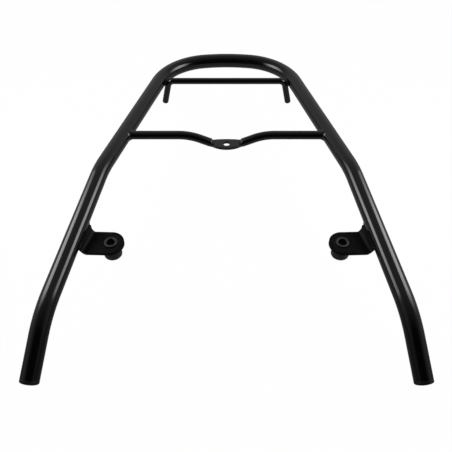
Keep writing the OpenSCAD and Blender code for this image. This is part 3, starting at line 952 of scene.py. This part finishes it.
class RackWeldSettings(PropertyGroup):
    """Weld beads."""

    cross_width: FloatProperty(
        name="Cross bar fillet on tube", description="Reach of the cross bar's weld over the side tube", default=0.003,
        min=0.001, max=0.0036, **LENGTH
    )
    cross_along: FloatProperty(
        name="Cross bar fillet on bar", description="Reach of the cross bar's weld along the bar", default=0.0034,
        min=0.001, max=0.008, **LENGTH
    )
    rear_width: FloatProperty(
        name="Rear bar bead", description="Width of the bead at the rear bar's corners", default=0.0042,
        min=0.001, max=0.008, **LENGTH
    )
    flange_width: FloatProperty(
        name="Flange bead", description="Width of the bead round the bracket's flange", default=0.0042,
        min=0.001, max=0.008, **LENGTH
    )
    ripple_spacing: FloatProperty(
        name="Ripple spacing", description="Distance between the bead's ripples", default=0.0013,
        min=0.0005, max=0.005, **LENGTH
    )
    ripple_height: FloatProperty(
        name="Ripple height", description="Height of the bead's ripples", default=0.00008,
        min=0.0, max=0.001, **LENGTH
    )
    unevenness: FloatProperty(
        name="Unevenness", description="How far the bead's skin wanders in or out", default=0.0002,
        min=0.0, max=0.002, **LENGTH
    )
    seed: IntProperty(name="Seed", description="Fixed seed of the unevenness", default=3, min=0)


class RackStageSettings(PropertyGroup):
    """Camera, lamps and floor."""

    lens: FloatProperty(
        name="Focal length", description="Millimetres on a 36 mm sensor", default=42.21, min=10, max=200
    )
    pitch: FloatProperty(
        name="Pitch", description="Angle by which the camera looks down", default=math.radians(47.48),
        subtype="ANGLE", unit="ROTATION"
    )
    camera_back: FloatProperty(
        name="Camera distance", description="Distance of the camera in front of the crown", default=0.660467, **LENGTH
    )
    camera_up: FloatProperty(
        name="Camera height", description="Height of the camera above the hoop", default=0.382898, **LENGTH
    )
    panel_out: FloatProperty(
        name="Panel distance", description="Distance of each lamp panel from the middle", default=0.42, **LENGTH
    )
    panel_back: FloatProperty(
        name="Panel place", description="Place of the panels along the rack", default=0.03, **LENGTH
    )
    panel_up: FloatProperty(
        name="Panel height above floor", description="Height of the panels' middle", default=0.36, **LENGTH
    )
    panel_length: FloatProperty(name="Panel length", description="Length of each panel", default=0.5, **LENGTH)
    panel_height: FloatProperty(name="Panel height", description="Height of each panel", default=0.32, **LENGTH)
    panel_power: FloatProperty(
        name="Panel power", description="Power of each panel, in watts", default=2.8, min=0.0, max=50.0
    )
    floor_gloss: FloatProperty(
        name="Floor in gloss", description="Level at which glossy surfaces see the floor", default=0.32,
        min=0.0, max=1.0, subtype="FACTOR"
    )


# operators


class RACK_OT_main_tube(Operator):
    """Build the bent main tube with its hollow wall"""

    bl_idname = "rack.main_tube"
    bl_label = "Main tube"

    def execute(self, context):
        values = {"Outside radius": TUBE_R * MM, "Wall": TUBE_WALL * MM, "Sides": 72}
        rod_piece("painted_main_tube", "main_tube", both_sides(hoop_half()), None, values)
        return {"FINISHED"}


class RACK_OT_rear_bar(Operator):
    """Build the rear bar with its two round-tipped pegs"""

    bl_idname = "rack.rear_bar"
    bl_label = "Rear bar"

    def execute(self, context):
        points, _, radii = peg_line()
        factors = [r / REAR_R for r in radii[::-1] + radii[1:]]
        values = {"Outside radius": REAR_R * MM, "Wall": 0.0, "Sides": 48}
        rod_piece("painted_rear_bar", "rear_bar", both_sides(points), factors, values)
        return {"FINISHED"}


class RACK_OT_cross_bar(Operator):
    """Build the dipped cross bar with its forged and drilled flat"""

    bl_idname = "rack.cross_bar"
    bl_label = "Cross bar"

    def execute(self, context):
        obj = solid_rod("painted_cross_bar", cross_bar_rings(), FORGED_SHARP)
        place = to_part([0, FLAT_SHIFT - CROSS_BACK, FLAT_TOP])
        drill(obj, place, HOLE_R * MM, depth=20 * MM, sharp=FORGED_SHARP)
        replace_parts(obj, "cross_bar")
        return {"FINISHED"}


class RACK_OT_brackets(Operator):
    """Build the two folded brackets with softened edges"""

    bl_idname = "rack.brackets"
    bl_label = "Brackets"

    def execute(self, context):
        primer = dipped_primer(context.scene.rack_finishes)
        worked_pairs(("bracket", "painted_bracket", primer, "black_paint", 0.45))
        return {"FINISHED"}


class RACK_OT_bushes(Operator):
    """Build the rubber bushes and their steel sleeves"""

    bl_idname = "rack.bushes"
    bl_label = "Bushes and sleeves"

    def execute(self, context):
        bush = ("bush", "rubber_bush", moulded_rubber(context.scene.rack_finishes), "bush_rubber", 0.5)
        worked_pairs(bush, ("sleeve", "steel_sleeve", turned_steel(), "sleeve_steel", 0.3))
        return {"FINISHED"}


class RACK_OT_plugs(Operator):
    """Build the plastic plugs of the leg ends"""

    bl_idname = "rack.plugs"
    bl_label = "End plugs"

    def execute(self, context):
        worked_pairs(("end_plug", "plastic_plug", moulded_plastic(), "plug_plastic", 0.25))
        return {"FINISHED"}


class RACK_OT_welds(Operator):
    """Lay the welds at the joints"""

    bl_idname = "rack.welds"
    bl_label = "Welds"

    def execute(self, context):
        settings = context.scene.rack_welds
        ring_piece("weld_fillets_cross_bar", fillet_round_cross_bar(settings), WELD_SHARP)
        bead_piece("weld_beads_rear_bar", *loop_at_rear_corner(), settings.rear_width, settings)
        bead_piece("weld_beads_flanges", *loop_round_flange(), settings.flange_width, settings)
        return {"FINISHED"}


class RACK_OT_stage(Operator):
    """Set the floor, the backdrop, the lamps and the camera"""

    bl_idname = "rack.stage"
    bl_label = "Stage"

    def execute(self, context):
        settings = context.scene.rack_stage
        white_cove(settings)
        tent_world()
        side_panel("panel_left", -1, settings)
        side_panel("panel_right", 1, settings)
        front_camera(settings)
        context.scene.view_settings.view_transform = "Standard"
        return {"FINISHED"}


class RACK_PT_sidebar(Panel):
    """Lists the rack's pieces and settings"""

    bl_idname = "RACK_PT_sidebar"
    bl_label = "Luggage rack"
    bl_space_type = "VIEW_3D"
    bl_region_type = "UI"
    bl_category = "Rack"

    def draw(self, context):
        layout = self.layout
        for operator in OPERATORS:
            layout.operator(operator.bl_idname)
        for name, settings in SETTINGS.items():
            box = layout.box()
            for key in settings.__annotations__:
                box.prop(getattr(context.scene, name), key)


SETTINGS = {"rack_finishes": RackFinishSettings, "rack_welds": RackWeldSettings, "rack_stage": RackStageSettings}
OPERATORS = (
    RACK_OT_main_tube,
    RACK_OT_rear_bar,
    RACK_OT_cross_bar,
    RACK_OT_brackets,
    RACK_OT_bushes,
    RACK_OT_plugs,
    RACK_OT_welds,
    RACK_OT_stage,
)
CLASSES = (*SETTINGS.values(), *OPERATORS, RACK_PT_sidebar)


def register():
    for item in CLASSES:
        bpy.utils.register_class(item)
    for key, group in SETTINGS.items():
        setattr(bpy.types.Scene, key, PointerProperty(type=group))


def unregister():
    for key in SETTINGS:
        delattr(bpy.types.Scene, key)
    for item in reversed(CLASSES):
        bpy.utils.unregister_class(item)


def main():
    register()
    bpy.ops.rack.main_tube()
    bpy.ops.rack.rear_bar()
    bpy.ops.rack.cross_bar()
    bpy.ops.rack.brackets()
    bpy.ops.rack.bushes()
    bpy.ops.rack.plugs()
    bpy.ops.rack.welds()
    bpy.ops.rack.stage()


if __name__ == "__main__":
    main()
